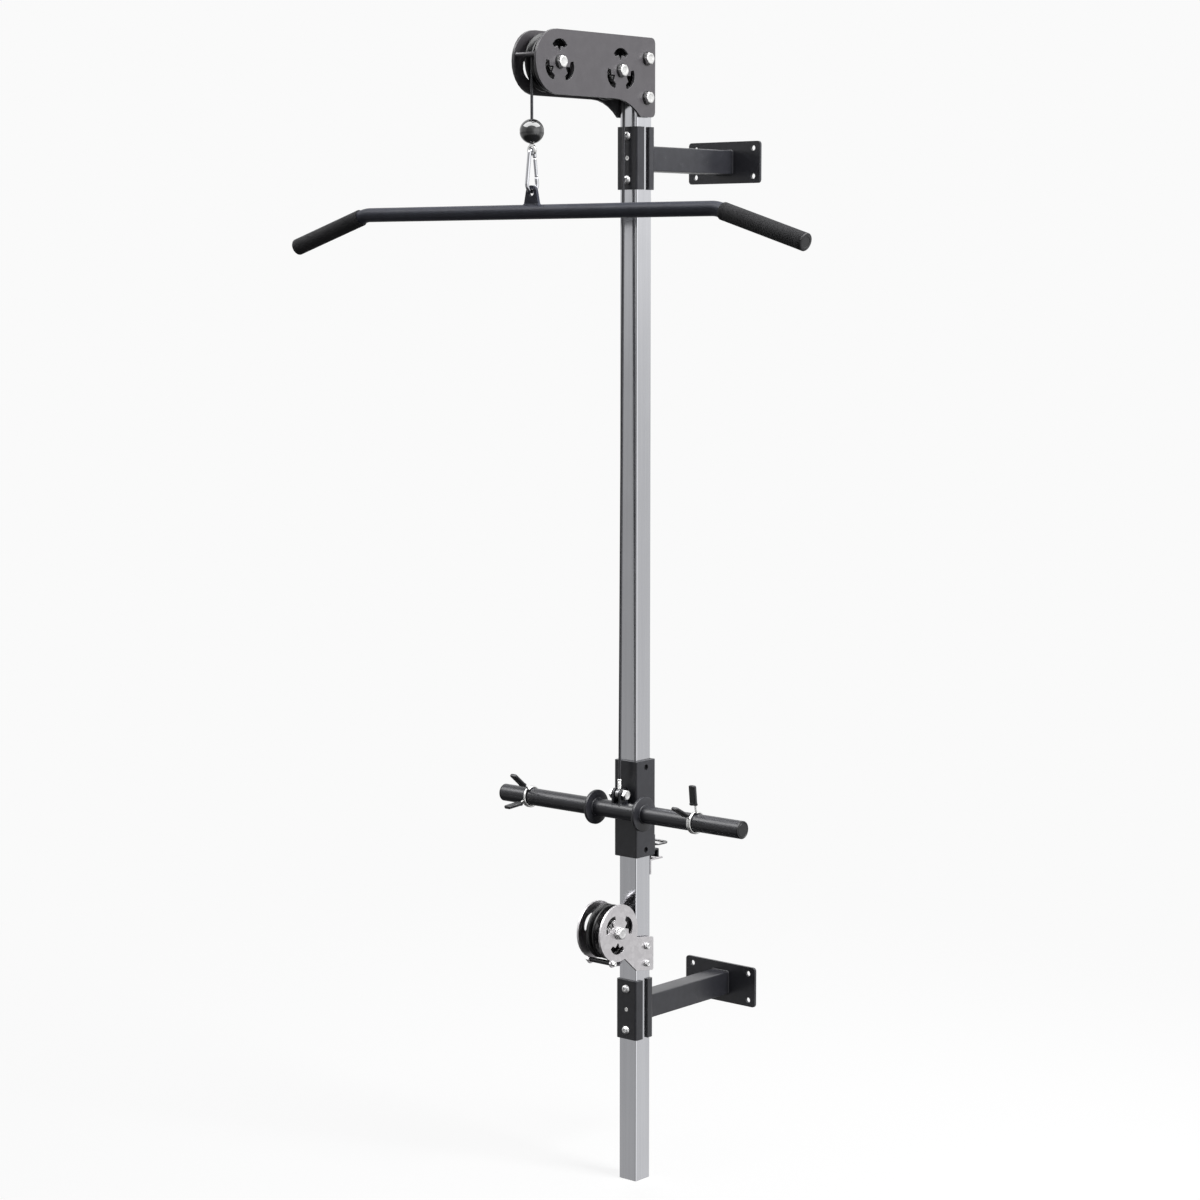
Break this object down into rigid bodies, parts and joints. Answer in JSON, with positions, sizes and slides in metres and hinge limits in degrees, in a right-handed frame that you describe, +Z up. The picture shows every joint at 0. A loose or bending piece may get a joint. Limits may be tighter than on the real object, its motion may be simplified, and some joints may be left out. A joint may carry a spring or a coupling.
{
  "type": "wall mounted lat pulldown tower",
  "caption": "Square post on two wall brackets: a cable over two head pulleys joins a bent pulldown bar to a sliding carriage for weight plates.",
  "frame": {"origin": "centre of the post's foot, on the floor", "axes": "+X along the wall, +Y from the post to the wall, +Z up the post"},
  "size_m": [1.1688, 0.5542, 2.071],
  "materials": {
    "chrome": "polished chrome plate",
    "zinc": "bright zinc plate",
    "galvanised": "galvanised sheet",
    "black_paint": "satin black powder coat",
    "grey_paint": "satin dark grey powder coat",
    "bar_paint": "satin blue-black paint",
    "nylon": "black nylon",
    "ball_plastic": "glossy black plastic",
    "foam": "ribbed black rubber",
    "cable_coating": "black nylon over steel rope",
    "bearing_steel": "ground steel"
  },
  "bodies": {
    "frame": {"post": "chrome", "post_foot_plug": "nylon", "post_top_plug": "nylon", "upper_clamp_front": "black_paint", "upper_wall_bracket": "black_paint", "upper_clamp_bolt_top": "zinc", "upper_clamp_bolt_bottom": "zinc", "lower_clamp_front": "black_paint", "lower_wall_bracket": "black_paint", "lower_clamp_bolt_top": "zinc", "lower_clamp_bolt_bottom": "zinc", "head_plate_left": "grey_paint", "head_plate_right": "grey_paint", "low_plate_left": "galvanised", "low_plate_right": "galvanised", "head_bolt_upper": "zinc", "head_bolt_lower": "zinc", "low_bolt_upper": "zinc", "low_bolt_lower": "zinc", "front_axle": "zinc", "rear_axle": "zinc", "low_axle": "zinc", "head_cable_retainer": "grey_paint", "low_retainer_bolt": "zinc", "low_retainer_sleeve": "nylon", "cable_over_pulleys": "cable_coating", "stop_bracket": "zinc", "stop_bumper": "foam"},
    "carriage": {"carriage_sleeve": "black_paint", "carriage_liner": "nylon", "load_bar": "black_paint", "load_cap_left": "nylon", "load_cap_right": "nylon", "cable_ear_bolt": "zinc", "cable_terminal": "zinc", "cable_rear_drop": "cable_coating", "latch_bracket": "black_paint"},
    "left_collar": {"left_collar_spring": "chrome", "left_collar_grip_low": "foam", "left_collar_grip_high": "foam"},
    "right_collar": {"right_collar_spring": "chrome", "right_collar_grip_low": "foam", "right_collar_grip_high": "foam"},
    "lock": {"lock_pin": "zinc"},
    "line_end": {"ball_stop": "ball_plastic", "cable_front_drop": "cable_coating"},
    "swivel_eye": {"cable_eye": "zinc"},
    "carabiner": {"carabiner_body": "chrome"},
    "gate": {"carabiner_gate": "chrome"},
    "bar": {"lat_bar": "bar_paint", "lat_grip_left": "foam", "lat_grip_right": "foam", "lat_cap_left": "nylon", "lat_cap_right": "nylon"},
    "front_wheel": {"front_pulley": "nylon", "front_pulley_bearing": "bearing_steel"},
    "rear_wheel": {"rear_pulley": "nylon", "rear_pulley_bearing": "bearing_steel"},
    "low_wheel": {"low_pulley": "nylon", "low_pulley_bearing": "bearing_steel"}
  },
  "joints": [
    {"name": "carriage_lift", "type": "slide", "parent": "frame", "child": "carriage", "axis": [0, 0, 1], "range_m": [0, 1.02], "deforming": ["cable_rear_drop"]},
    {"name": "line_pull", "type": "slide", "parent": "frame", "child": "line_end", "axis": [0, 0, -1], "range_m": [0, 1.02], "deforming": ["cable_front_drop"]},
    {"name": "bar_swivel", "type": "hinge", "parent": "line_end", "child": "swivel_eye", "pos_m": [0, -0.275, 1.8773], "axis": [0, 0, 1], "range_deg": [-60, 60]},
    {"name": "carabiner_swing", "type": "hinge", "parent": "swivel_eye", "child": "carabiner", "pos_m": [0, -0.275, 1.867], "axis": [0, 1, 0], "range_deg": [-25, 25]},
    {"name": "gate_open", "type": "hinge", "parent": "carabiner", "child": "gate", "pos_m": [0, -0.26764, 1.85228], "axis": [-1, 0, 0], "range_deg": [0, 25], "stiffness_Nm_per_rad": 0.05, "springref_deg": -11.46},
    {"name": "bar_rock", "type": "hinge", "parent": "carabiner", "child": "bar", "pos_m": [0, -0.275, 1.797], "axis": [0, 1, 0], "range_deg": [-20, 20]},
    {"name": "left_collar_slide", "type": "slide", "parent": "carriage", "child": "left_collar", "axis": [1, 0, 0], "range_m": [-0.045, 0.145]},
    {"name": "right_collar_slide", "type": "slide", "parent": "carriage", "child": "right_collar", "axis": [1, 0, 0], "range_m": [-0.105, 0.089]},
    {"name": "lock_pull", "type": "slide", "parent": "carriage", "child": "lock", "axis": [0, 1, 0], "range_m": [0, 0.01], "stiffness_N_per_m": 400, "springref_m": -0.005},
    {"name": "front_pulley_spin", "type": "hinge", "parent": "frame", "child": "front_wheel", "pos_m": [0, -0.234, 2.016], "axis": [1, 0, 0], "continuous": true},
    {"name": "rear_pulley_spin", "type": "hinge", "parent": "frame", "child": "rear_wheel", "pos_m": [0, -0.0735, 2.0095], "axis": [1, 0, 0], "continuous": true},
    {"name": "low_pulley_spin", "type": "hinge", "parent": "frame", "child": "low_wheel", "pos_m": [0, -0.077, 0.477], "axis": [1, 0, 0], "continuous": true}
  ],
  "couplings": [
    {"joint": "line_pull", "follows": "carriage_lift", "ratio": 1},
    {"joint": "front_pulley_spin", "follows": "carriage_lift", "rad_per_m": 24.39},
    {"joint": "rear_pulley_spin", "follows": "carriage_lift", "rad_per_m": 24.39}
  ]
}
